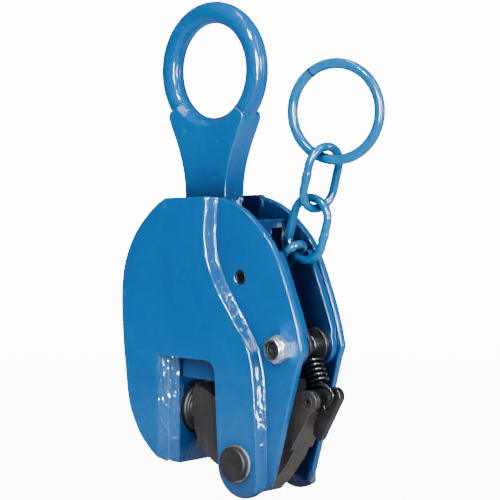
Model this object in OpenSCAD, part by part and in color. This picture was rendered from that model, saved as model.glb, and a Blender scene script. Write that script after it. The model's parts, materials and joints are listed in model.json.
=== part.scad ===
// Vertical plate lifting clamp, about 2 t: a toothed cam and a fixed pad grip a steel plate's edge.
// Origin at the centre of the lifting eye, on the mid-plane. +X towards the cam's tail, -Y is the
// front face, +Z up. Side outlines are drawn as (x, z) pairs and extruded along Y.

/* [Lifting eye] */
// Inside diameter of the eye
eye_bore = 70; // [60:1:80]
// Diameter of the eye's round section
eye_section = 16.4; // [14:0.2:18]
// Thickness of the flat shank below the eye
shank_t = 21; // [18:0.5:22]
// Width of the shank where it enters the body
shank_w = 41; // [36:1:42]

/* [Body] */
// Free gap between the two inner plates
gap = 26; // [25:0.5:28]
// Thickness of each inner plate
inner_t = 6; // [5:0.5:7]
// Thickness of each pressed outer shell
shell_t = 6.5; // [5:0.5:7]
// How far the raised half of a shell stands out
joggle = 8; // [5:0.5:9]

/* [Jaw] */
// Diameter of the round jaw pad
pad_d = 36; // [30:1:40]
// How far the pad stands out of the jaw
pad_proud = 2.6; // [1:0.2:4]
// Number of teeth on the cam
tooth_count = 21; // [12:1:30]
// Depth of one cam tooth
tooth_depth = 1.3; // [0.8:0.1:2]
// Thickness of the cam
cam_t = 24; // [18:1:25]

/* [Pins and lock] */
// Diameter of the cam pin
cam_pin_d = 16; // [12:1:18]
// Diameter of the cam pin's head
cam_head_d = 25; // [22:1:28]
// Diameter of the lock bolt
bolt_d = 12; // [10:1:14]
// Size of the lock nut across its flats
nut_af = 18; // [17:1:20]
// Wire diameter of the lock spring
spring_wire = 2.4; // [1.8:0.1:2.6]
// Outside diameter of the lock spring
spring_od = 13.4; // [12:0.2:14]
// Turns in the lock spring
spring_turns = 5; // [4:1:6]

/* [Release chain] */
// Wire diameter of a chain link
link_wire = 6.4; // [5:0.2:7]
// Outside diameter of the pull ring
ring_od = 75.6; // [70:0.2:82]
// Wire diameter of the pull ring
ring_wire = 7.6; // [6:0.2:8]

/* [Hidden] */
$fn = 64;
fit = 0.05;

// Colours
paint = [0.02, 0.42, 0.72];
dark_steel = [0.30, 0.27, 0.26];
black_steel = [0.10, 0.10, 0.11];
zinc = [0.78, 0.78, 0.76];

// Main levels along Y, front side; the rear side mirrors them
inner_y = gap / 2;
shell_y = inner_y + inner_t;
face_y = shell_y + shell_t;
raised_y = face_y + joggle;

// Axes, as (x, z)
cam_axis = [53.5, -285.1];
bolt_axis = [89.5, -199.6];
guide_pin_axis = [49.3, -150.7];
shackle_pin_axis = [12, -136.8];
link_pin_axis = [72.5, -252.2];
tail_axis = [103, -238];
pad_z = -254.3;
jaw_x = -16;

// ---------- helpers ----------

// Extrudes an (x, z) drawing from y0 to y1
module along_y(y0, y1)
{
    translate([0, y1, 0])
        rotate([90, 0, 0])
            linear_extrude(y1 - y0)
                children();
}

// A round bar along Y at an (x, z) axis
module bar(axis, d, y0, y1)
{
    translate([axis[0], y1, axis[1]])
        rotate([90, 0, 0])
            cylinder(d = d, h = y1 - y0);
}

// A hexagonal bar along Y with two corners up and down
module hex_bar(axis, af, y0, y1)
{
    translate([axis[0], y1, axis[1]])
        rotate([90, 0, 0])
            rotate([0, 0, 30])
                cylinder(d = af / cos(30), h = y1 - y0, $fn = 6);
}

// A chamfered disc along Y; its chamfer is on the y0 side
module chamfered_disc(axis, d, y0, y1, chamfer)
{
    r = d / 2;
    translate([axis[0], y1, axis[1]])
        rotate([90, 0, 0])
            rotate_extrude()
                polygon([[0, 0], [r, 0], [r, y1 - y0 - chamfer], [r - chamfer, y1 - y0], [0, y1 - y0]]);
}

module both_sides()
{
    children();
    mirror([0, 1, 0])
        children();
}

// One point of a Catmull-Rom curve
function curve_point(a, b, c, d, t) =
    0.5 * ((2 * b) + (c - a) * t + (2 * a - 5 * b + 4 * c - d) * t * t
        + (3 * b - a - 3 * c + d) * t * t * t);

// An open smooth curve through the points, with n steps in each interval
function smooth(p, n) = [
    for (i = [0 : len(p) - 2], k = [0 : n - 1])
        curve_point(p[max(i - 1, 0)], p[i], p[i + 1], p[min(i + 2, len(p) - 1)], k / n),
    p[len(p) - 1]
];

// Points on an arc, from angle a0 to a1
function arc(c, r, a0, a1, n) = [
    for (k = [0 : n]) c + r * [cos(a0 + (a1 - a0) * k / n), sin(a0 + (a1 - a0) * k / n)]
];

function ease(t) = let (u = min(max(t, 0), 1)) u * u * (3 - 2 * u);

// ---------- body outline ----------

// Outer edge from the top left corner, down the left side, to the jaw's bottom
left_edge = [[-20, -94.5], [-30, -100.5], [-41, -110], [-51, -121], [-58.5, -133.5], [-64, -148],
    [-66.4, -165], [-66.3, -185], [-65, -206], [-62.8, -225], [-60.5, -244], [-57, -257],
    [-49.5, -271], [-43.8, -278.2], [-36.2, -285.2], [-29, -290.3], [-22, -294.2]];

// Outer edge from the jaw side of the top, down the right side, to the bend by the lock bolt
right_edge = [[21, -92.6], [28, -93.4], [41, -96.6], [53, -102], [61, -107.8], [70.5, -115.8],
    [79, -124.8], [86, -136.5], [92, -150], [96.5, -161], [101, -173], [105.3, -187]];

// Right edge below that bend, going up
leg_edge = [[88.5, -267], [93, -251], [99.3, -230], [101.5, -222], [105.5, -208]];

leg_r = 24;
leg_c = [57.8, -286.5];
slot_left = -22;
slot_top = -213;
slot_corner = 9;
slot_right_top = 30.6;
slot_right_low = 33.8;

outline = concat(
    smooth(left_edge, 3),
    [[slot_left, slot_top]],
    arc([slot_right_top - slot_corner, slot_top - slot_corner], slot_corner, 90, 0, 6),
    [[slot_right_low, -280]],
    arc(leg_c, leg_r, 180, 344, 20),
    leg_edge,
    arc([100, -200], 8, -14, 16, 4),
    [for (i = [1 : len(smooth(right_edge, 2))])
        smooth(right_edge, 2)[len(smooth(right_edge, 2)) - i]]
);

// Edge of the raised half and edge of the flat half, from above the body to below it
raised_edge = smooth([[20.5, -84], [20.2, -98], [19.2, -122], [22.4, -141], [32.4, -160.5],
    [46, -178.3], [61, -197.5], [67.5, -221.5], [70.6, -256], [71.6, -283], [72.2, -318]], 3);
flat_edge = smooth([[29.5, -84], [28.2, -98], [26.2, -120], [29.4, -140], [40.2, -160],
    [54.4, -180], [69, -202], [74.4, -224], [76, -256], [76.4, -283], [76.6, -318]], 3);

module outline_prism(y0, y1)
{
    along_y(y0, y1)
        polygon(outline);
}

// The pressed step between the raised half and the flat half, as one swept band
module joggle_band()
{
    across = [-0.12, 0, 0.12, 0.24, 0.36, 0.5, 0.64, 0.76, 0.88, 1, 1.12];
    rows = len(raised_edge);
    n = len(across);
    function at(i, j, back) = let (
        t = across[j],
        p = raised_edge[i] + (flat_edge[i] - raised_edge[i]) * t
    ) [p[0], -raised_y + joggle * ease(t) + back, p[1]];
    front = [for (i = [0 : rows - 1], j = [0 : n - 1]) at(i, j, 0)];
    back = [for (i = [0 : rows - 1], j = [0 : n - 1]) at(i, j, shell_t)];
    m = rows * n;
    faces = concat(
        [for (i = [0 : rows - 2], j = [0 : n - 2])
            [i * n + j, i * n + j + 1, (i + 1) * n + j]],
        [for (i = [0 : rows - 2], j = [0 : n - 2])
            [i * n + j + 1, (i + 1) * n + j + 1, (i + 1) * n + j]],
        [for (i = [0 : rows - 2], j = [0 : n - 2])
            [m + i * n + j, m + (i + 1) * n + j, m + i * n + j + 1]],
        [for (i = [0 : rows - 2], j = [0 : n - 2])
            [m + i * n + j + 1, m + (i + 1) * n + j, m + (i + 1) * n + j + 1]],
        [for (i = [0 : rows - 2]) [i * n, (i + 1) * n, m + (i + 1) * n, m + i * n]],
        [for (i = [0 : rows - 2])
            [i * n + n - 1, m + i * n + n - 1, m + (i + 1) * n + n - 1, (i + 1) * n + n - 1]],
        [for (j = [0 : n - 2]) [j, m + j, m + j + 1, j + 1]],
        [for (j = [0 : n - 2])
            [(rows - 1) * n + j, (rows - 1) * n + j + 1, m + (rows - 1) * n + j + 1,
                m + (rows - 1) * n + j]]
    );
    polyhedron(points = concat(front, back), faces = faces, convexity = 6);
}

module shell()
{
    far = 150;
    difference()
    {
        intersection()
        {
            outline_prism(-raised_y - 1, -shell_y + 1);
            union()
            {
                along_y(-raised_y, -raised_y + shell_t)
                    polygon(concat(raised_edge, [[-far, -318], [-far, -84]]));
                along_y(-face_y, -face_y + shell_t)
                    polygon(concat(flat_edge, [[far, -318], [far, -84]]));
                joggle_band();
            }
        }
        // sloped cheek of the throat
        translate([0, 0, -300])
            linear_extrude(300 + slot_top)
                polygon([[slot_left - shell_t, -raised_y - 0.01], [slot_left - shell_t, -raised_y - 2],
                    [slot_left + 2, -raised_y - 2], [slot_left + 2, -raised_y + shell_t],
                    [slot_left, -raised_y + shell_t]]);
        bar(cam_axis, cam_pin_d + 2 * fit, -raised_y - 1, 0);
        bar(bolt_axis, bolt_d + 2 * fit, -raised_y - 1, 0);
        bar(guide_pin_axis, 10, -raised_y - 1, 0);
    }
}

module front_shell()
{
    color(paint)
        shell();
}

module rear_shell()
{
    color(paint)
        mirror([0, 1, 0])
            shell();
}

// ---------- inner plates ----------

inner_end_r = 15.6;
inner_top = -131;
inner_outline = concat(
    [[-46, inner_top]],
    smooth([[80.6, inner_top], [84, -137], [89.9, -150.4], [94.5, -161.4], [99.4, -173.4],
        [104, -187]], 2),
    arc(bolt_axis, inner_end_r, 26, -100, 9),
    [[72, -222], [60, -229.5], [jaw_x + 0.6, -229.5], [jaw_x + 0.6, -203], [-46, -203]]
);

module inner_plate()
{
    difference()
    {
        along_y(-shell_y + 0.01, -inner_y)
            polygon(inner_outline);
        bar(bolt_axis, bolt_d + 2 * fit, -raised_y, 0);
        bar(guide_pin_axis, 10, -raised_y, 0);
    }
}

module front_inner_plate()
{
    color(paint)
        inner_plate();
}

module rear_inner_plate()
{
    color(paint)
        mirror([0, 1, 0])
            inner_plate();
}

// ---------- jaw ----------

jaw_bottom = -294.5;

module jaw_block()
{
    back_y = raised_y - shell_t - 0.02;
    cheek = back_y - (jaw_x - slot_left);
    color(paint)
        difference()
        {
            intersection()
            {
                translate([0, 0, jaw_bottom])
                    linear_extrude(-204 - jaw_bottom)
                        polygon([[-70, -back_y], [slot_left - 0.02, -back_y], [jaw_x, -cheek],
                            [jaw_x, cheek], [slot_left - 0.02, back_y], [-70, back_y]]);
                outline_prism_closed();
                translate([2.5, 0, 0.3])
                    outline_prism_closed();
            }
            // seat of the pad
            translate([jaw_x - 6, 0, pad_z])
                rotate([0, 90, 0])
                    cylinder(d = pad_d + 3, h = 10);
            translate([jaw_x - 26, 0, pad_z])
                rotate([0, 90, 0])
                    cylinder(d = 10.1, h = 21);
            // welding bevel along the shank side
            translate([jaw_x - 5, -inner_y, -230])
                cube([10, 2 * inner_y, 30]);
        }
}

// The body's outline with the throat filled in, for cutting the jaw block's outer side
module outline_prism_closed()
{
    along_y(-60, 60)
        polygon(concat(smooth(left_edge, 3), [[jaw_x + 1, jaw_bottom - 1], [jaw_x + 1, -94]]));
}

module jaw_pad()
{
    ring = 3;
    grooves = 5;
    r = pad_d / 2;
    face = 6 + pad_proud;
    color(dark_steel)
        translate([jaw_x - 6, 0, pad_z])
            rotate([0, 90, 0])
                difference()
                {
                    rotate_extrude()
                        polygon([[0, 0], [r, 0], [r, face - 1], [r - 1, face], [0, face]]);
                    for (k = [1 : grooves])
                        rotate_extrude()
                            translate([k * ring, face])
                                polygon([[-0.8, 0.1], [0.8, 0.1], [0, -1.1]]);
                    translate([0, 0, -1])
                        cylinder(d = 6.02, h = 6);
                }
}

module pad_screw()
{
    color(black_steel)
        translate([jaw_x - 24, 0, pad_z])
            rotate([0, 90, 0])
            {
                difference()
                {
                    cylinder(d = 10, h = 6);
                    translate([0, 0, -1])
                        cylinder(d = 5 / cos(30), h = 4, $fn = 6);
                }
                translate([0, 0, 6])
                    cylinder(d = 6, h = 16.5);
            }
}

// ---------- guides ----------

module guide_block()
{
    top = -109.5;
    bottom = -157;
    left = 31;
    right = 56;
    rail = 22.4;
    side = inner_y - 0.02;
    wide = shell_y - 0.02;
    color(paint)
        difference()
        {
            union()
            {
                translate([left, -side, bottom])
                    cube([right - left, 2 * side, top - bottom]);
                translate([left, -wide, inner_top + 0.02])
                    cube([right - left, 2 * wide, top - inner_top - 0.02]);
                translate([rail, -side, top - 9])
                    cube([left - rail + 1, 2 * side, 9]);
            }
            // relief slot below the top band
            translate([right - 14, 2.2, bottom - 1])
                cube([20, 11.1, -116 - bottom + 1]);
            bar(guide_pin_axis, 10, -20, 20);
        }
}

module shank_guide()
{
    rail = -22.4;
    side = inner_y - 0.02;
    color(paint)
        along_y(-side, side)
            polygon([[rail - 14, -118], [rail - 6, -109.5], [rail, -109.5], [rail, -200],
                [rail - 14, -200]]);
}

module guide_pin()
{
    bore = 7;
    length = face_y - 0.6;
    color(black_steel)
        difference()
        {
            bar(guide_pin_axis, 10 - 0.02, -length, length);
            bar(guide_pin_axis, bore, -length - 1, length + 1);
        }
}

// ---------- lock bolt ----------

nut_h = 7.6;
crown_h = 3.6;
bolt_head_h = 7.5;

module lock_bolt()
{
    tip = face_y + nut_h + crown_h - 1.8;
    color(black_steel)
        difference()
        {
            union()
            {
                intersection()
                {
                    hex_bar(bolt_axis, nut_af, face_y, face_y + bolt_head_h);
                    mirror([0, 1, 0])
                        chamfered_disc(bolt_axis, nut_af / cos(30) + 0.1, -face_y - bolt_head_h,
                            -face_y, 1);
                }
                chamfered_disc(bolt_axis, bolt_d, -tip, face_y + 1, 1.7);
            }
            // centre mark in the tip
            bar(bolt_axis, 3.6, -tip - 1, -tip + 2);
        }
}

module lock_nut()
{
    crown_r = nut_af / 2 - 0.9;
    color(zinc)
        difference()
        {
            union()
            {
                intersection()
                {
                    hex_bar(bolt_axis, nut_af, -face_y - nut_h, -face_y);
                    chamfered_disc(bolt_axis, nut_af / cos(30) + 0.1, -face_y - nut_h, -face_y, 1);
                }
                translate([bolt_axis[0], -face_y - nut_h + 0.5, bolt_axis[1]])
                    rotate([90, 0, 0])
                        rotate_extrude()
                            polygon([[bolt_d / 2 + 1.4, 0], [crown_r, 0], [crown_r, crown_h - 0.9],
                                [crown_r - 1, crown_h + 0.5], [bolt_d / 2 + 1.4, crown_h + 0.5]]);
            }
            bar(bolt_axis, bolt_d + 0.02, -face_y - nut_h - 5, 0);
            bar(bolt_axis, bolt_d + 2.82, -face_y - nut_h - 5, -face_y - nut_h - 0.3);
        }
}

module nut_insert()
{
    color([0.25, 0.25, 0.28])
        difference()
        {
            bar(bolt_axis, bolt_d + 2.78, -face_y - nut_h - crown_h + 0.3, -face_y - nut_h - 0.32);
            bar(bolt_axis, bolt_d + 0.02, -face_y - nut_h - 9, 0);
        }
}

bush_d = 13.4;
flange_t = 3.6;

module lock_bush()
{
    color(black_steel)
        difference()
        {
            bar(bolt_axis, bush_d, -inner_y + 0.05, inner_y - 0.05);
            bar(bolt_axis, bolt_d + 0.02, -inner_y - 1, inner_y + 1);
        }
}

module bush_flanges()
{
    flange_d = 25.6;
    color(black_steel)
        both_sides()
            difference()
            {
                mirror([0, 1, 0])
                    chamfered_disc(bolt_axis, flange_d, -inner_y + 0.04, -inner_y + flange_t, 0.01);
                bar(bolt_axis, bush_d + 0.02, 0, inner_y + 1);
            }
}

// ---------- cam pin ----------

washer_t = 1.2;
head_t = 4.6;

module cam_pin()
{
    head_y = raised_y + washer_t;
    end = raised_y + 5;
    color(dark_steel)
        difference()
        {
            union()
            {
                chamfered_disc(cam_axis, cam_head_d, -head_y - head_t, -head_y, 1.1);
                mirror([0, 1, 0])
                    chamfered_disc(cam_axis, cam_pin_d, -end, head_y + 0.5, 1);
            }
            // circlip groove
            difference()
            {
                bar(cam_axis, cam_pin_d + 4, raised_y + washer_t + 0.05, raised_y + washer_t + 1.35);
                bar(cam_axis, cam_pin_d - 1.6, raised_y, end);
            }
        }
}

module cam_pin_washers()
{
    color(zinc)
        both_sides()
            difference()
            {
                bar(cam_axis, cam_head_d + 2.4, -raised_y - washer_t + 0.01, -raised_y - 0.01);
                bar(cam_axis, cam_pin_d + 2 * fit, -raised_y - 2, 0);
            }
}

module cam_pin_circlip()
{
    y0 = raised_y + washer_t + 0.08;
    opening = 50;
    color(black_steel)
        along_y(y0, y0 + 1.2)
            difference()
            {
                translate(cam_axis)
                    circle(d = cam_pin_d + 6);
                translate(cam_axis)
                    circle(d = cam_pin_d - 1.5);
                translate(cam_axis)
                    polygon([[0, 0], 20 * [sin(-opening / 2), -cos(opening / 2)],
                        20 * [sin(opening / 2), -cos(opening / 2)]]);
            }
}

module cam_spacers()
{
    outer = 28;
    color(black_steel)
        both_sides()
            difference()
            {
                bar(cam_axis, outer, -(raised_y - shell_t) + 0.03, -cam_t / 2 + recess - 0.2);
                bar(cam_axis, cam_pin_d + 2 * fit, -raised_y, 0);
            }
}

// ---------- lifting eye ----------

eye_r = (eye_bore + eye_section) / 2;
half_w = shank_w / 2;
shank_side = [[37.2, -31.5], [37.6, -36], [34.2, -44], [30.4, -52], [26, -63], [23, -73], [21.2, -83]];
pin_lug_r = 15;

module lifting_eye()
{
    side = smooth(shank_side, 2);
    inside = eye_bore / 2 + 1.6;
    a0 = -42;
    foot = -120;
    color(paint)
        difference()
        {
            union()
            {
                rotate([90, 0, 0])
                    rotate_extrude($fn = 96)
                        translate([eye_r, 0])
                            circle(d = eye_section, $fn = 48);
                intersection()
                {
                    along_y(-shank_t / 2, shank_t / 2)
                        polygon(concat(
                            side,
                            [[half_w, -92], [half_w, foot]],
                            [[-half_w, foot], [-half_w, -92]],
                            [for (i = [1 : len(side)])
                                let (p = side[len(side) - i]) [-p[0], p[1]]],
                            arc([0, 0], inside, 180 - a0, 360 + a0, 24)
                        ));
                    // the front and rear faces fall away towards the eye's bore
                    rotate([90, 0, 0])
                        rotate_extrude($fn = 96)
                            polygon([[inside, -5], [inside + 4.5, -shank_t / 2], [170, -shank_t / 2],
                                [170, shank_t / 2], [inside + 4.5, shank_t / 2], [inside, 5]]);
                }
                // lug for the pin
                along_y(-shank_t / 2, shank_t / 2)
                    polygon(concat([[-half_w, -119]], [[-half_w, -134]],
                        arc(shackle_pin_axis, pin_lug_r, 205, 372, 16), [[half_w, -119]]));
            }
            bar(shackle_pin_axis, 10, -shank_t, shank_t);
            // fork for the link
            translate([-half_w - 1, -4.4, -160])
                cube([60, 8.8, 36]);
            // edge chamfers of the shank
            both_sides()
                for (s = [-1, 1])
                    translate([s * half_w, -shank_t / 2, -170])
                        rotate([0, 0, 45])
                            translate([-1.4, -1.4, 0])
                                cube([2.8, 2.8, 72]);
        }
}

module shackle_pin()
{
    color(black_steel)
        bar(shackle_pin_axis, 10 - 0.02, -shank_t / 2 + 0.3, shank_t / 2 - 0.3);
}

// ---------- linkage ----------

link_t = 8;
link_half = 7;
link_clearance = 2;

module connecting_link()
{
    run = link_pin_axis - shackle_pin_axis;
    length = norm(run);
    angle = atan2(run[1], run[0]);
    color(dark_steel)
        difference()
        {
            along_y(-link_t / 2, link_t / 2)
                translate(shackle_pin_axis)
                    rotate(angle)
                        union()
                        {
                            translate([0, -link_half])
                                square([length, 2 * link_half]);
                            circle(r = link_half + 1);
                            translate([length, 0])
                                circle(r = link_half + 1.5);
                        }
            bar(shackle_pin_axis, 10 + 2 * fit, -9, 9);
            bar(link_pin_axis, 8 + 2 * link_clearance, -9, 9);
        }
}

// ---------- cam ----------

recess = 3.5;
tip_r = 80.5;
tip_angle = 141;
sweep = 50;

function profile_r(a) = tip_r - 0.235 * pow(a - tip_angle, 1.3);
function polar(r, a) = cam_axis + r * [cos(a), sin(a)];

teeth = [
    for (k = [0 : tooth_count - 1], top = [1, 0])
        let (a = tip_angle + sweep * (k + (top ? 0.0 : 0.62)) / tooth_count)
            polar(profile_r(a) - (top ? 0 : tooth_depth), a)
];

hub_r = 24;
tail_r = 8;
cam_outline = concat(
    teeth,
    [polar(41.5, 191.5), polar(30, 196)],
    arc(cam_axis, hub_r, 200, 285, 12),
    [[71, -297.4], [83, -282], [88.5, -271.5], [94, -263], [99.6, -255.3], [104.3, -246.9]],
    arc(tail_axis, tail_r, -30, 95, 9),
    [[84, -233.5], [66, -236.5], [50, -243.5], [32, -248.5], [14.5, -243.9], [0, -237.6]]
);

module cam()
{
    link_slot = 9;
    slot_r = 12;
    swing = 46;
    bracket_slot = 14;
    up = 117.7;
    color(dark_steel)
        difference()
        {
            along_y(-cam_t / 2, cam_t / 2)
                polygon(cam_outline);
            bar(cam_axis, cam_pin_d + 2 * fit, -20, 20);
            bar(link_pin_axis, 8, -20, 20);
            bar(tail_axis, 8, -20, 20);
            // turned recess round the hub, cut away towards the back
            both_sides()
                along_y(-cam_t, -cam_t / 2 + recess)
                    union()
                    {
                        translate(cam_axis)
                            circle(r = 26);
                        translate(cam_axis)
                            polygon([[0, 0], 60 * [cos(17.9), sin(17.9)], [60, -60], [-2, -60]]);
                    }
            // slot for the link
            along_y(-link_slot / 2, link_slot / 2)
                union()
                {
                    translate(link_pin_axis)
                        circle(r = slot_r);
                    translate(link_pin_axis)
                        polygon([
                            slot_r * [cos(up - 90), sin(up - 90)],
                            60 * [cos(up - 12), sin(up - 12)],
                            60 * [cos(up + swing + 12), sin(up + swing + 12)],
                            slot_r * [cos(up + swing + 90), sin(up + swing + 90)]
                        ]);
                }
            // slot for the spring bracket, between the two ears of the tail
            translate([tail_axis[0] - 11, -bracket_slot / 2, -246])
                cube([40, bracket_slot, 100]);
        }
}

module link_pin()
{
    color(black_steel)
        bar(link_pin_axis, 8 - 0.02, -cam_t / 2 + 0.2, cam_t / 2 - 0.2);
}

module tail_pin()
{
    color(dark_steel)
        difference()
        {
            bar(tail_axis, 8 - 0.02, -cam_t / 2 - 0.4, cam_t / 2 + 0.4);
            bar(tail_axis, 3.6, -20, 20);
        }
}

hook_hole = [113.1, -240.7];

module spring_bracket()
{
    hole_d = 4.6;
    color(black_steel)
        difference()
        {
            along_y(-3, 3)
                polygon(concat(
                    arc([118.6, -233.2], 6.6, -25, 88, 7),
                    [[106, -228.9], [93.5, -232], [93.5, -245.2], [105.7, -245.9], [100.5, -255.2],
                        [100, -262.5]],
                    arc([105.6, -264.6], 2.2, 215, 330, 4)
                ));
            bar(tail_axis, 8, -9, 9);
            bar(hook_hole, hole_d, -9, 9);
        }
}

// ---------- lock lever and spring ----------

arm_hole = [64.2, -144.4];
lever_y = -3;
lever_t = 3;
lever_hub_r = 8.8;

// A flat bar between two axes, with rounded ends
module flat_bar(a, b, ra, rb)
{
    u = (b - a) / norm(b - a);
    v = 0.99 * [-u[1], u[0]];
    union()
    {
        translate(a)
            circle(r = ra);
        translate(b)
            circle(r = rb);
        polygon([a + ra * v, a - ra * v, b - rb * v, b + rb * v]);
    }
}

module lock_lever()
{
    color(black_steel)
        difference()
        {
            along_y(lever_y, lever_y + lever_t)
                flat_bar(bolt_axis, arm_hole, lever_hub_r, 7.4);
            bar(bolt_axis, bush_d + 2 * fit, -20, 20);
            bar(arm_hole, 9.4, -20, 20);
        }
}

spring_y = 2.4;
coil_from = [97.6, -208.2];
coil_to = [105.4, -225.6];

// Centre line of the spring: a loop round the bush, the coil, then a hook into the bracket
function spring_line() = let (
    run = coil_to - coil_from,
    side = [-run[1], run[0]] / norm(run),
    loop_r = bush_d / 2 + spring_wire / 2 + 0.15,
    coil_r = (spring_od - spring_wire) / 2,
    steps = spring_turns * 12 + 3
) concat(
    [for (a = [-20 : 20 : 250])
        let (p = bolt_axis + loop_r * [cos(a), sin(a)]) [p[0], spring_y, p[1]]],
    [for (k = [0 : steps])
        let (a = 180 + 30 * k, q = coil_from + run * k / steps + side * coil_r * cos(a))
            [q[0], coil_r * sin(a), q[1]]],
    smooth([[108.8, -5.6, -225], [113, -5.1, -225.4], [117.6, -4.8, -228.1], [120.4, -4.8, -232],
        [119, -4.8, -236.6], [115.4, -4.6, -239.9], [113.3, -2, -240.8], [112.8, 2.5, -241]], 3)
);

// A tube swept along a list of points
module tube(line, d, sides)
{
    n = len(line);
    function unit(v) = v / norm(v);
    function dir(i) = unit(line[min(i + 1, n - 1)] - line[max(i - 1, 0)]);
    function flat(i) = let (t = dir(i), u = abs(t[1]) < 0.9 ? [0, 1, 0] : [1, 0, 0])
        unit(cross(t, u));
    rings = [for (i = [0 : n - 1], k = [0 : sides - 1])
        let (e = flat(i), f = cross(dir(i), e), a = 360 * k / sides)
            line[i] + d / 2 * (cos(a) * e + sin(a) * f)];
    walls = [for (i = [0 : n - 2], k = [0 : sides - 1], half = [0, 1])
        let (a = i * sides + k, b = i * sides + (k + 1) % sides)
            half ? [a, b, b + sides] : [a, b + sides, a + sides]];
    caps = [[for (k = [0 : sides - 1]) sides - 1 - k], [for (k = [0 : sides - 1]) (n - 1) * sides + k]];
    polyhedron(points = rings, faces = concat(walls, caps), convexity = 8);
}

module lock_spring()
{
    color(black_steel)
        tube(spring_line(), spring_wire, 8);
}

// ---------- release chain ----------

half_len = 22.93;
link_half_w = 14.3;
lever_link_half_w = 8;
lever_link_half_len = 13.5;

// A chain link in the local XZ plane, its long axis along Z, centred on its own middle
module chain_link(half_l, half_w, wire)
{
    straight = half_l - half_w;
    for (s = [-1, 1])
    {
        translate([s * half_w, 0, -straight])
            cylinder(d = wire, h = 2 * straight);
        translate([0, 0, s * straight])
            rotate([90, 0, 0])
                rotate([0, 0, s < 0 ? 180 : 0])
                    rotate_extrude(angle = 180)
                        translate([half_w, 0])
                            circle(d = wire, $fn = 32);
    }
}

// Leans the link's long axis over towards +X, and turns its width to an azimuth from +X
module placed(centre, lean, azimuth)
{
    translate([centre[0], 0, centre[1]])
        rotate([0, lean, 0])
            rotate([0, 0, azimuth])
                children();
}

lever_link_lean = 48.8;
lever_link_mid = arm_hole + lever_link_half_len * [sin(lever_link_lean), cos(lever_link_lean)];
middle_lean = 17;
middle_mid = [92.75, -114.95];
ring_link_lean = 15.3;
ring_link_mid = [105, -78.05];
ring_mid = [118.2, -31.1];

module lever_link()
{
    color(paint)
        placed(lever_link_mid, lever_link_lean, 90)
            chain_link(lever_link_half_len, lever_link_half_w, link_wire);
}

module middle_link()
{
    color(paint)
        placed(middle_mid, middle_lean, 7.3)
            chain_link(half_len, link_half_w, link_wire);
}

module ring_link()
{
    color(paint)
        placed(ring_link_mid, ring_link_lean, 82.5)
            chain_link(half_len, link_half_w, link_wire);
}

module pull_ring()
{
    color(paint)
        translate([ring_mid[0], 0, ring_mid[1]])
            rotate([0, 0, 14.5])
                rotate([90, 0, 0])
                    rotate_extrude($fn = 96)
                        translate([(ring_od - ring_wire) / 2, 0])
                            circle(d = ring_wire, $fn = 32);
}

front_shell();
rear_shell();
front_inner_plate();
rear_inner_plate();
jaw_block();
jaw_pad();
pad_screw();
guide_block();
shank_guide();
guide_pin();
lock_bolt();
lock_nut();
nut_insert();
lock_bush();
bush_flanges();
cam_pin();
cam_pin_washers();
cam_pin_circlip();
cam_spacers();
lock_spring();
lifting_eye();
shackle_pin();
connecting_link();
cam();
link_pin();
tail_pin();
spring_bracket();
lock_lever();
lever_link();
middle_link();
ring_link();
pull_ring();
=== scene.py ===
import json
import math

import bpy
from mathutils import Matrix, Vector


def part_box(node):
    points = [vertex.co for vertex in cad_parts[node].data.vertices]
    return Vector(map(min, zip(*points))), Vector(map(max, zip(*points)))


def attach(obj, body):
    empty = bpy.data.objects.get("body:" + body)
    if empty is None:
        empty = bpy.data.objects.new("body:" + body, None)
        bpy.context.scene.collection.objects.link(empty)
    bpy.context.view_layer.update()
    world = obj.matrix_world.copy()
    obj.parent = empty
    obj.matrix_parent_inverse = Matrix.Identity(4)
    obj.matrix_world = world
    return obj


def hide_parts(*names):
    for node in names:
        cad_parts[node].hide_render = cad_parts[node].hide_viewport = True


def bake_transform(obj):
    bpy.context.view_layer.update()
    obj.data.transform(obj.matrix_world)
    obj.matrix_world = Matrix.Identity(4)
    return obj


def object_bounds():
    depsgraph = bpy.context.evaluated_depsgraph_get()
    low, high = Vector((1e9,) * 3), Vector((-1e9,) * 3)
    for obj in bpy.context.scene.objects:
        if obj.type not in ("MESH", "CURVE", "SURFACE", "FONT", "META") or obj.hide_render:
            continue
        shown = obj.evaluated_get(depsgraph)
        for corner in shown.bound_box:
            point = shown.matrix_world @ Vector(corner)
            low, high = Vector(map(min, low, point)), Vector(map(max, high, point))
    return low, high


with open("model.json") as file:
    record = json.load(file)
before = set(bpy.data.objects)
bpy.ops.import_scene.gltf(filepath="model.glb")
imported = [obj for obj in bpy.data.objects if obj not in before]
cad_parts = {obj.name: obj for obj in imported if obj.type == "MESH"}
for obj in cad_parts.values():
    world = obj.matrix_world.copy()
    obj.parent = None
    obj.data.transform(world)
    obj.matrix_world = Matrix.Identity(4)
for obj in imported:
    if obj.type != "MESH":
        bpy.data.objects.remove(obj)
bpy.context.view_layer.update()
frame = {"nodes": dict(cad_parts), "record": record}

scene = bpy.context.scene
NODES = frame["nodes"]
MM = 0.001

# ---------------------------------------------------------------- node graph helpers


def add(tree, kind, inputs=None, **settings):
    """Adds one node, sets its properties, then links or sets its inputs."""
    node = tree.nodes.new(kind)
    for name, value in settings.items():
        setattr(node, name, value)
    for key, value in (inputs or {}).items():
        if isinstance(value, bpy.types.NodeSocket):
            tree.links.new(value, node.inputs[key])
        else:
            node.inputs[key].default_value = value
    return node


def shader(tree, kind, inputs=None, **settings):
    return add(tree, "ShaderNode" + kind, inputs, **settings)


def noise(tree, where, scale, detail=3.0, distortion=0.0, rough=0.55):
    return shader(tree, "TexNoise", {"Vector": where, "Scale": scale, "Detail": detail,
                                     "Roughness": rough, "Distortion": distortion}).outputs["Fac"]


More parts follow.
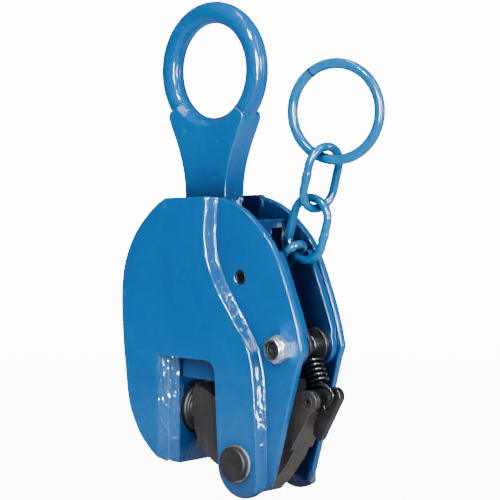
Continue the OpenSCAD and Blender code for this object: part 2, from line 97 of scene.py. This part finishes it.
def remap(tree, value, lo, hi, to_lo=0.0, to_hi=1.0):
    return shader(tree, "MapRange", {"Value": value, "From Min": lo, "From Max": hi,
                                     "To Min": to_lo, "To Max": to_hi}).outputs["Result"]


def calc(tree, operation, a, b):
    return shader(tree, "Math", {0: a, 1: b}, operation=operation).outputs[0]


def blend_colour(tree, factor, a, b, how="MIX"):
    mixer = shader(tree, "Mix", data_type="RGBA", blend_type=how)
    for key, value in ((0, factor), (6, a), (7, b)):
        if isinstance(value, bpy.types.NodeSocket):
            tree.links.new(value, mixer.inputs[key])
        else:
            mixer.inputs[key].default_value = value if key == 0 else (*value, 1.0)
    return mixer.outputs[2]


def edge_mask(tree, radius, lo=0.008, hi=0.12):
    """High on the outer edges and in the corners of a part."""
    round_normal = shader(tree, "Bevel", {"Radius": radius}, samples=4).outputs["Normal"]
    own_normal = shader(tree, "NewGeometry").outputs["Normal"]
    same = shader(tree, "VectorMath", {0: round_normal, 1: own_normal},
                  operation="DOT_PRODUCT").outputs["Value"]
    return remap(tree, calc(tree, "SUBTRACT", 1.0, same), lo, hi)


def start_material(name):
    material = bpy.data.materials.new(name)
    material.use_nodes = True
    tree = material.node_tree
    tree.nodes.clear()
    return material, tree, shader(tree, "TexCoord").outputs["Object"]


def end_material(tree, **inputs):
    named = {key.replace("_", " "): value for key, value in inputs.items()}
    surface = shader(tree, "BsdfPrincipled", named).outputs[0]
    shader(tree, "OutputMaterial", {"Surface": surface})


def grain(tree, heights, distance):
    """A bump normal from a list of (height, strength)."""
    total = 0.0
    for height, strength in heights:
        total = calc(tree, "ADD", total, calc(tree, "MULTIPLY", height, strength))
    return shader(tree, "Bump", {"Strength": 1.0, "Distance": distance,
                                 "Height": total}).outputs["Normal"]


# ---------------------------------------------------------------- materials


def paint(name, base, highlight_and_scuff, rough=0.3, wave=1.0, scuffs=0.5, edge_highlight=0.6):
    """Gloss enamel: an uneven film with a few dull scuffs and chips.

    The edges turn towards a lighter colour by the share given: a painted highlight. The scuffs take the
    same colour. Deep gaps are darkened from ambient occlusion: painted shade.
    """
    material, tree, where = start_material(name)
    blotch = noise(tree, where, 16.0, 4.0, 0.3)
    swell = noise(tree, where, 22.0, 0.0)
    # the film runs and ripples most on faces that aren't square to Y
    facing = shader(tree, "SeparateXYZ", {0: shader(tree, "TexCoord").outputs["Normal"]}).outputs["Y"]
    bent = remap(tree, calc(tree, "ABSOLUTE", facing, 0.0), 0.97, 0.85, 0.25, 1.0)
    runs = shader(tree, "Mapping", {"Vector": where, "Scale": (1.0, 1.0, 0.45)}).outputs[0]
    ripple = calc(tree, "MULTIPLY", noise(tree, runs, 210.0, 1.5, 0.6), bent)
    peel = noise(tree, where, 700.0, 1.0)
    scuff = calc(tree, "MULTIPLY", remap(tree, noise(tree, where, 75.0, 7.0, 0.8), 0.66, 0.74), scuffs)
    edge = edge_mask(tree, 1.2 * MM)
    chip = calc(tree, "MULTIPLY", edge, remap(tree, noise(tree, where, 240.0, 4.0), 0.6, 0.66))
    open_sky = shader(tree, "AmbientOcclusion", {"Distance": 60 * MM}, samples=4).outputs["AO"]
    deep = tuple(0.84 * c for c in base)
    colour = blend_colour(tree, remap(tree, blotch, 0.35, 0.68), deep, base)
    # painted highlight: the rounded edges lightened towards the highlight colour
    colour = blend_colour(tree, calc(tree, "MULTIPLY", edge, edge_highlight), colour, highlight_and_scuff)
    colour = blend_colour(tree, calc(tree, "MULTIPLY", scuff, 0.4), colour, highlight_and_scuff)
    colour = blend_colour(tree, calc(tree, "MULTIPLY", chip, 0.5), colour, (0.35, 0.66, 0.85))
    # painted shade: darkened to navy where ambient occlusion finds the surface hemmed in, in gaps, corners
    # and between the plates
    colour = blend_colour(tree, remap(tree, open_sky, 0.40, 0.94), (0.0, 0.010, 0.06), colour)
    roughness = calc(tree, "ADD", calc(tree, "MULTIPLY", scuff, 0.22),
                     remap(tree, blotch, 0.3, 0.7, rough - 0.06, rough + 0.08))
    normal = grain(tree, [(ripple, 1.3 * wave), (peel, 0.05), (swell, 2.0 * wave), (scuff, -0.2)], 0.3 * MM)
    end_material(tree, Base_Color=colour, Roughness=roughness, Normal=normal,
                 Coat_Normal=normal, Specular_IOR_Level=0.04, Coat_Weight=1.0, Coat_Roughness=0.06)
    return material


def dark_steel(name, base, warm, rough=0.42, metal=0.7, shine=0.3, lines=(1.0, 1.0, 0.08),
               rub_and_highlight=(0.36, 0.35, 0.34)):
    """Hardened or forged steel: mottled, with fine grinding lines, and lighter edges: rubbed wear and a
    painted highlight.
    """
    material, tree, where = start_material(name)
    mottle = noise(tree, where, 45.0, 5.0, 0.5)
    ground = noise(tree, shader(tree, "Mapping", {"Vector": where, "Scale": lines}).outputs[0], 900.0, 3.0)
    pits = noise(tree, where, 420.0, 3.0)
    edge = edge_mask(tree, 0.7 * MM)
    colour = blend_colour(tree, remap(tree, mottle, 0.35, 0.68), base, warm)
    colour = blend_colour(tree, remap(tree, ground, 0.52, 0.68, 0.0, 0.5), colour,
                          tuple(1.9 * c for c in base))
    colour = blend_colour(tree, remap(tree, pits, 0.6, 0.72, 0.0, 0.45), colour,
                          tuple(0.35 * c for c in base))
    # lighter edges: rubbed wear and a painted highlight
    colour = blend_colour(tree, calc(tree, "MULTIPLY", edge, 0.55), colour, rub_and_highlight)
    roughness = remap(tree, calc(tree, "ADD", mottle, calc(tree, "MULTIPLY", ground, 0.5)),
                      0.4, 1.1, rough - 0.12, rough + 0.14)
    normal = grain(tree, [(ground, 0.5), (pits, 0.5), (mottle, 0.8)], 0.12 * MM)
    end_material(tree, Base_Color=colour, Roughness=roughness, Normal=normal, Metallic=metal,
                 Specular_IOR_Level=shine)
    return material


def black(name, base=(0.012, 0.012, 0.014), rough=0.34):
    """Black finish: satin, a little dusty, and grey on the edges: rubbed wear and a painted highlight."""
    material, tree, where = start_material(name)
    dust = noise(tree, where, 70.0, 5.0, 0.4)
    fine = noise(tree, where, 800.0, 2.0)
    edge = edge_mask(tree, 0.6 * MM)
    colour = blend_colour(tree, remap(tree, dust, 0.4, 0.75), base, tuple(2.4 * c for c in base))
    # grey edges: rubbed wear and a painted highlight
    colour = blend_colour(tree, calc(tree, "MULTIPLY", edge, 0.4), colour, (0.14, 0.14, 0.15))
    roughness = remap(tree, dust, 0.3, 0.7, rough - 0.1, rough + 0.14)
    normal = grain(tree, [(fine, 0.35), (dust, 0.8)], 0.1 * MM)
    end_material(tree, Base_Color=colour, Roughness=roughness, Normal=normal,
                 Coat_Normal=normal, Metallic=0.35, Coat_Weight=0.25, Coat_Roughness=0.2)
    return material


def zinc(name, dull, bright, rough):
    """Zinc plate: faintly cloudy, with fine turning lines."""
    material, tree, where = start_material(name)
    cloud = noise(tree, where, 110.0, 4.0, 0.3)
    fine = noise(tree, shader(tree, "Mapping", {"Vector": where, "Scale": (1.0, 8.0, 1.0)}).outputs[0],
                 500.0, 3.0)
    edge = edge_mask(tree, 0.5 * MM)
    colour = blend_colour(tree, remap(tree, cloud, 0.35, 0.7), dull, bright)
    colour = blend_colour(tree, calc(tree, "MULTIPLY", edge, 0.5), colour, bright)
    roughness = remap(tree, cloud, 0.3, 0.7, rough, rough + 0.16)
    normal = grain(tree, [(fine, 0.4), (cloud, 0.6)], 0.06 * MM)
    end_material(tree, Base_Color=colour, Roughness=roughness, Normal=normal, Metallic=0.95)
    return material


def nylon(name):
    material, tree, where = start_material(name)
    mottle = noise(tree, where, 300.0, 4.0)
    colour = blend_colour(tree, remap(tree, mottle, 0.35, 0.7), (0.03, 0.03, 0.045), (0.07, 0.07, 0.09))
    end_material(tree, Base_Color=colour, Roughness=remap(tree, mottle, 0.3, 0.7, 0.4, 0.6),
                 Normal=grain(tree, [(mottle, 1.0)], 0.05 * MM))
    return material


BODY = paint("body_enamel", (0.0, 0.20, 0.68), (0.02, 0.58, 1.0), wave=1.5)
# a darker copy of the body enamel for the parts between the plates: painted shade
SHADED_INSIDE = paint("inner_enamel_shaded", (0.0, 0.15, 0.54), (0.0, 0.36, 0.86), rough=0.36, scuffs=0.8)
# the eye's edges take the painted highlight in full
EYE = paint("eye_enamel", (0.0, 0.225, 0.74), (0.06, 0.80, 1.0), rough=0.28, wave=1.1, scuffs=0.6,
            edge_highlight=1.0)
CHAIN = paint("chain_enamel", (0.0, 0.29, 0.78), (0.03, 0.62, 1.0), rough=0.24, wave=0.5)
# the base's cool grey is partly a painted reflection of the blue body; the warm brown mottle is the forged
# steel's own
FORGED = dark_steel("cam_steel", (0.068, 0.070, 0.078), (0.115, 0.080, 0.062), lines=(1.0, 1.0, 0.06))
TURNED = dark_steel("pin_steel", (0.030, 0.027, 0.027), (0.05, 0.044, 0.043), rough=0.5, metal=0.3,
                    shine=0.12, rub_and_highlight=(0.12, 0.12, 0.12))
PAD = dark_steel("pad_steel", (0.032, 0.030, 0.031), (0.055, 0.048, 0.047), rough=0.46, metal=0.3,
                 shine=0.12, rub_and_highlight=(0.12, 0.11, 0.11))
BLACK = black("black_finish")
SPRING = black("spring_black", (0.010, 0.010, 0.011), 0.2)
ZINC = zinc("zinc_plate", (0.72, 0.72, 0.71), (0.9, 0.9, 0.88), 0.2)
OLD_ZINC = zinc("old_zinc_plate", (0.16, 0.16, 0.16), (0.28, 0.28, 0.27), 0.45)
NYLON = nylon("nut_nylon")

# node: material, width of its rounded edges in mm
DRESS = {
    "front_shell": (BODY, 1.7), "rear_shell": (BODY, 1.7),
    "front_inner_plate": (SHADED_INSIDE, 0.8), "rear_inner_plate": (SHADED_INSIDE, 0.8),
    "jaw_block": (BODY, 0.9), "jaw_pad": (PAD, 0.22), "pad_screw": (BLACK, 0.3),
    "guide_block": (SHADED_INSIDE, 0.7), "shank_guide": (SHADED_INSIDE, 0.7), "guide_pin": (BLACK, 0.4),
    "lock_bolt": (BLACK, 0.4), "lock_nut": (ZINC, 0.35), "nut_insert": (NYLON, 0.3),
    "lock_bush": (BLACK, 0.3), "bush_flanges": (BLACK, 0.5), "cam_pin": (TURNED, 0.5),
    "cam_pin_washers": (OLD_ZINC, 0.2), "cam_pin_circlip": (BLACK, 0.2), "cam_spacers": (BLACK, 0.5),
    "lock_spring": (SPRING, 0.0), "lifting_eye": (EYE, 0.9), "shackle_pin": (BLACK, 0.4),
    "connecting_link": (FORGED, 0.6), "cam": (FORGED, 0.22), "link_pin": (BLACK, 0.3),
    "tail_pin": (TURNED, 0.35), "spring_bracket": (BLACK, 0.7), "lock_lever": (BLACK, 0.4),
    "lever_link": (CHAIN, 0.0), "middle_link": (CHAIN, 0.0), "ring_link": (CHAIN, 0.0),
    "pull_ring": (CHAIN, 0.0),
}


# ---------------------------------------------------------------- edges and shading


def start_group(name):
    group = bpy.data.node_groups.new(name, "GeometryNodeTree")
    group.interface.new_socket("Geometry", in_out="INPUT", socket_type="NodeSocketGeometry")
    group.interface.new_socket("Geometry", in_out="OUTPUT", socket_type="NodeSocketGeometry")
    return group, group.nodes.new("NodeGroupInput"), group.nodes.new("NodeGroupOutput")


def smooth_group(limit):
    """Geometry nodes: shades smooth except across edges sharper than limit degrees."""
    group, first, last = start_group("smooth_shading")
    faces = add(group, "GeometryNodeSetShadeSmooth", {"Geometry": first.outputs[0],
                                                      "Shade Smooth": True}, domain="FACE")
    angle = add(group, "GeometryNodeInputMeshEdgeAngle")
    sharp = add(group, "FunctionNodeCompare", {"A": angle.outputs[0], "B": math.radians(limit)},
                data_type="FLOAT", operation="GREATER_THAN")
    edges = add(group, "GeometryNodeSetShadeSmooth",
                {"Geometry": faces.outputs[0], "Selection": sharp.outputs[0],
                 "Shade Smooth": False}, domain="EDGE")
    group.links.new(edges.outputs[0], last.inputs[0])
    return group


SMOOTH = smooth_group(38)
# pieces whose flat faces are left in the triangles they come in
NOT_JOINED = ("front_shell", "rear_shell", "jaw_block")


def edge_group(limit, keep_x):
    """Geometry nodes: a bevel weight for each outer edge sharper than limit degrees.

    Edges at X keep_x get none: there a shell meets the jaw block it is welded to.
    """
    group, first, last = start_group("edge_weights")
    angle = add(group, "GeometryNodeInputMeshEdgeAngle")
    sharp = add(group, "FunctionNodeCompare", {"A": angle.outputs[1], "B": math.radians(limit)},
                data_type="FLOAT", operation="GREATER_THAN").outputs[0]
    spot = add(group, "GeometryNodeInputPosition").outputs[0]
    x = add(group, "ShaderNodeSeparateXYZ", {0: spot}).outputs[0]
    away = calc(group, "ABSOLUTE", calc(group, "SUBTRACT", x, keep_x), 0.0)
    free = remap(group, away, 0.1 * MM, 0.2 * MM)
    weight = calc(group, "MULTIPLY", sharp, free)
    store = add(group, "GeometryNodeStoreNamedAttribute", {"Geometry": first.outputs[0], "Value": weight},
                data_type="FLOAT", domain="EDGE")
    store.inputs["Name"].default_value = "bevel_weight_edge"
    group.links.new(store.outputs[0], last.inputs[0])
    return group


SHELL_JOINT_X = -22 * MM
WEIGHTS = edge_group(36, SHELL_JOINT_X)


def dress(obj, material, width):
    """Material, joined corners, rounded edges and smooth shading, all as modifiers."""
    mesh = obj.data
    if mesh.attributes.get("custom_normal"):
        mesh.attributes.remove(mesh.attributes["custom_normal"])
    mesh.materials.clear()
    mesh.materials.append(material)
    weld = obj.modifiers.new("weld", "WELD")
    weld.merge_threshold = 0.002 * MM
    if width > 0:
        if obj.name not in NOT_JOINED:
            flat = obj.modifiers.new("flat", "DECIMATE")
            flat.decimate_type = "DISSOLVE"
            flat.angle_limit = math.radians(0.6)
        weights = obj.modifiers.new("weights", "NODES")
        weights.node_group = WEIGHTS
        bevel = obj.modifiers.new("edges", "BEVEL")
        bevel.width = width * MM
        bevel.segments = 3
        bevel.limit_method = "WEIGHT"
        bevel.loop_slide = False
        bevel.use_clamp_overlap = False
        bevel.miter_outer = "MITER_ARC"
    smooth = obj.modifiers.new("smooth", "NODES")
    smooth.node_group = SMOOTH
    if width > 0:
        weighted = obj.modifiers.new("weighted", "WEIGHTED_NORMAL")
        weighted.keep_sharp = True


for node_name, (material, width) in DRESS.items():
    dress(NODES[node_name], material, width)

# ---------------------------------------------------------------- lock spring


def smooth_line(points, steps):
    """A Catmull-Rom curve through the points."""
    ends = [points[0]] + points + [points[-1]]
    line = []
    for a, b, c, d in zip(ends, ends[1:], ends[2:], ends[3:]):
        for k in range(steps):
            t = k / steps
            line.append(0.5 * (2 * b + (c - a) * t + (2 * a - 5 * b + 4 * c - d) * t * t
                               + (3 * b - a - 3 * c + d) * t ** 3))
    return line + [points[-1]]


def wire(name, line, radius, material, sides=14):
    """A round wire swept along a line, its two ends rounded over."""
    tangents = [(line[min(i + 1, len(line) - 1)] - line[max(i - 1, 0)]).normalized()
                for i in range(len(line))]
    side = tangents[0].orthogonal().normalized()
    verts, faces = [], []
    caps = ((0.35, -0.94), (0.78, -0.62))
    rings = [(line[0] + tangents[0] * radius * z, r, 0) for r, z in caps]
    rings += [(point, 1.0, i) for i, point in enumerate(line)]
    rings += [(line[-1] - tangents[-1] * radius * z, r, len(line) - 1) for r, z in reversed(caps)]
    for centre, scale, i in rings:
        side = (side - tangents[i] * side.dot(tangents[i])).normalized()
        up = tangents[i].cross(side)
        for k in range(sides):
            a = 2 * math.pi * k / sides
            verts.append(centre + scale * radius * (math.cos(a) * side + math.sin(a) * up))
    for i in range(len(rings) - 1):
        for k in range(sides):
            a, b = i * sides + k, i * sides + (k + 1) % sides
            faces.append((a, b, b + sides, a + sides))
    faces.append(tuple(reversed(range(sides))))
    faces.append(tuple(range(len(verts) - sides, len(verts))))
    mesh = bpy.data.meshes.new(name)
    mesh.from_pydata(verts, [], faces)
    mesh.polygons.foreach_set("use_smooth", [True] * len(mesh.polygons))
    mesh.materials.append(material)
    obj = bpy.data.objects.new(name, mesh)
    scene.collection.objects.link(obj)
    return obj


# radii of the spring's wire, coil and loop, and how far back from the middle the loop lies
WIRE_R = 1.2 * MM
COIL_R = 5.5 * MM
TURNS = 5
LOOP_R = 8.05 * MM
LOOP_Y = 2.4 * MM


def lock_spring():
    """A loop round the bush, a coil, and a hook through the bracket's hole.
    """
    low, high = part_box("lock_bush")
    bush = Vector(((low.x + high.x) / 2, 0, (low.z + high.z) / 2))
    start = Vector((97.6, 0, -208.2)) * MM
    end = Vector((105.4, 0, -225.6)) * MM
    run = end - start
    across = Vector((-run.z, 0, run.x)).normalized()
    loop = []
    for degrees in range(-20, 251, 12):
        a = math.radians(degrees)
        loop.append(bush + Vector((LOOP_R * math.cos(a), LOOP_Y, LOOP_R * math.sin(a))))
    coil = []
    step = 15
    steps = (TURNS * 360 + 90) // step
    for k in range(steps + 1):
        a = math.radians(180 + k * step)
        coil.append(start + run * (k / steps) + across * COIL_R * math.cos(a)
                    + Vector((0, COIL_R * math.sin(a), 0)))
    hook = [Vector(p) * MM for p in ((108.8, -5.6, -225), (113, -5.1, -225.4), (117.6, -4.8, -228.1),
                                     (120.4, -4.8, -232), (119, -4.8, -236.6), (115.4, -4.6, -239.9),
                                     (113.3, -2, -240.8), (112.8, 2.5, -241))]
    # bent out and up from the straight way, which would graze the lever's hub
    past_hub = loop[-1].lerp(coil[1], 0.5) + Vector((0, 1.2, -1.0)) * MM
    tail = smooth_line([loop[-1], past_hub, coil[2]], 4)
    line = loop[:-1] + tail[:-1] + coil[2:-1] + smooth_line([coil[-1]] + hook, 5)
    spring = wire("coil_spring", line, WIRE_R, SPRING)
    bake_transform(spring)
    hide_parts("lock_spring")


lock_spring()

# ---------------------------------------------------------------- welds of the chain, and painted shade in the pull ring's joint

# from the middle of a link to the middle of its side wire, and of the ring to its wire
LINK_HALF_WIDTH = 14.3 * MM
RING_R = 34 * MM


def joint_point(name):
    for joint in frame["record"]["behaviour"]["joints"]:
        if joint["name"] == name:
            return Vector(joint["pos_m"])
    raise KeyError(name)


def weld(name, body, centre, along, radius, length, material, slot):
    """A short collar round a wire, where its two ends are butt welded; on the pull ring it is a dark band
    of painted shade in the joint.
    """
    along = along.normalized()
    line = [centre + along * length * (k / 6 - 0.5) for k in range(7)]
    piece = wire(name, line, radius, material, 24)
    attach(piece, body)


def middle_of(name):
    low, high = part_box(name)
    return (low + high) / 2


def level_direction(degrees):
    a = math.radians(degrees)
    return Vector((math.cos(a), math.sin(a), 0))


def link_weld(body, low_joint, high_joint, turn, side):
    """The weld on one long side of a link; turn is the azimuth of the link's plane."""
    axis = (joint_point(high_joint) - joint_point(low_joint)).normalized()
    flat = level_direction(turn)
    flat = (flat - axis * flat.dot(axis)).normalized()
    centre = middle_of(body) + flat * side * LINK_HALF_WIDTH
    weld(body + "_weld", body, centre, axis, 3.48 * MM, 5.5 * MM, CHAIN, "chain_paint")


def ring_joint_shade(turn, around):
    """A dark band of painted shade in the joint of the pull ring's two ends, around degrees past its level
    axis.
    """
    flat = level_direction(turn)
    up = Vector((0, 0, 1))
    a = math.radians(around)
    centre = middle_of("pull_ring") + (flat * math.cos(a) + up * math.sin(a)) * RING_R
    along = up * math.cos(a) - flat * math.sin(a)
    # painted shade: a black band where the gap between the ring's ends lies in shadow
    weld("pull_ring_joint_shade", "pull_ring", centre, along, 3.9 * MM, 0.9 * MM, BLACK, "black_steel")


link_weld("middle_link", "middle_link_swing", "ring_link_swing", 7.3, 1)
link_weld("ring_link", "ring_link_swing", "pull_ring_swing", 82.5, -1)
ring_joint_shade(14.5, 124)

# ---------------------------------------------------------------- stage, light and camera

# strength of the surroundings: as the camera sees them, and as the object does
WHITE = 14.0
FELT = 0.16
PAPER = (1.0, 1.0, 1.0, 1.0)
COOL = (0.8, 0.95, 1.0)
FLOOR_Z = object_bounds()[0].z - 12 * MM
AIM = Vector((0.0254, 0.0118, -0.1335))


def stage_floor():
    """A pale floor that fades into the surroundings."""
    mesh = bpy.data.meshes.new("floor")
    reach = 30.0
    mesh.from_pydata([(-reach, -reach, FLOOR_Z), (reach, -reach, FLOOR_Z), (reach, reach, FLOOR_Z),
                      (-reach, reach, FLOOR_Z)], [], [(0, 1, 2, 3)])
    floor = bpy.data.objects.new("floor", mesh)
    scene.collection.objects.link(floor)
    material = bpy.data.materials.new("floor")
    material.use_nodes = True
    tree = material.node_tree
    tree.nodes.clear()
    where = shader(tree, "NewGeometry").outputs["Position"]
    far = shader(tree, "VectorMath", {0: where}, operation="LENGTH").outputs["Value"]
    seen = shader(tree, "LightPath").outputs["Is Camera Ray"]
    pale = shader(tree, "BsdfDiffuse", {"Color": (0.86, 0.86, 0.87, 1.0)}).outputs[0]
    near_glow = shader(tree, "Emission", {"Color": PAPER, "Strength":
                                          calc(tree, "MULTIPLY", seen, 0.8 * WHITE)}).outputs[0]
    near = shader(tree, "AddShader", {0: pale, 1: near_glow}).outputs[0]
    glow = shader(tree, "Emission", {"Color": PAPER, "Strength":
                                     remap(tree, seen, 0.0, 1.0, FELT, WHITE)}).outputs[0]
    mixed = shader(tree, "MixShader", {0: remap(tree, far, 0.4, 1.2), 1: near, 2: glow}).outputs[0]
    shader(tree, "OutputMaterial", {"Surface": mixed})
    mesh.materials.append(material)


stage_floor()


def surroundings():
    world = bpy.data.worlds.new("studio")
    scene.world = world
    world.use_nodes = True
    tree = world.node_tree
    tree.nodes.clear()
    seen = shader(tree, "LightPath").outputs["Is Camera Ray"]
    bright = shader(tree, "Background", {"Color": PAPER, "Strength": WHITE}).outputs[0]
    dim = shader(tree, "Background", {"Color": (0.93, 0.97, 1.0, 1.0), "Strength": FELT}).outputs[0]
    both = shader(tree, "MixShader", {0: seen, 1: dim, 2: bright}).outputs[0]
    shader(tree, "OutputWorld", {"Surface": both})


surroundings()


def softbox(name, azimuth, elevation, distance, width, height, power, diffuse=True, glossy=True):
    """An area light aimed at the object; one that only makes highlights is cool."""
    a, e = math.radians(azimuth), math.radians(elevation)
    back = Vector((math.sin(a) * math.cos(e), -math.cos(a) * math.cos(e), math.sin(e)))
    light = bpy.data.lights.new(name, "AREA")
    light.shape = "RECTANGLE"
    light.size, light.size_y = width, height
    light.energy = power
    light.color = (1, 1, 1) if diffuse else COOL
    obj = bpy.data.objects.new(name, light)
    obj.location = AIM + back * distance
    obj.rotation_mode = "QUATERNION"
    obj.rotation_quaternion = (-back).to_track_quat("-Z", "Y")
    obj.visible_diffuse, obj.visible_glossy = diffuse, glossy
    scene.collection.objects.link(obj)


softbox("fill", 50, 9, 1.5, 0.3, 0.8, 11, glossy=False)
softbox("key", 84, 42, 1.6, 0.14, 0.6, 6.5)
softbox("right", 122, 10, 1.6, 0.10, 0.8, 4.5)
softbox("top", 20, 80, 1.5, 0.3, 0.7, 6)
softbox("back", 222, 28, 1.8, 0.8, 0.8, 8, glossy=False)
softbox("front", 6, 36, 1.8, 0.8, 0.8, 6, glossy=False)
softbox("tall_strip", 47.5, 10, 1.5, 0.10, 1.0, 130, diffuse=False)
softbox("side_strip", 84, 6, 1.5, 0.18, 0.9, 60, diffuse=False)
softbox("high_strip", 33, 47, 1.5, 0.2, 0.3, 62, diffuse=False)

# fitted to the photograph: azimuth 42.5 and elevation 3.6 degrees
camera_data = bpy.data.cameras.new("camera")
camera_data.sensor_width = 36.0
camera_data.lens = 136.8
camera_data.clip_start, camera_data.clip_end = 0.05, 60.0
camera = bpy.data.objects.new("camera", camera_data)
camera.location = (0.9815, -1.0315, -0.0445)
camera.rotation_mode = "QUATERNION"
camera.rotation_quaternion = (AIM - camera.location).to_track_quat("-Z", "Y")
scene.collection.objects.link(camera)
scene.camera = camera
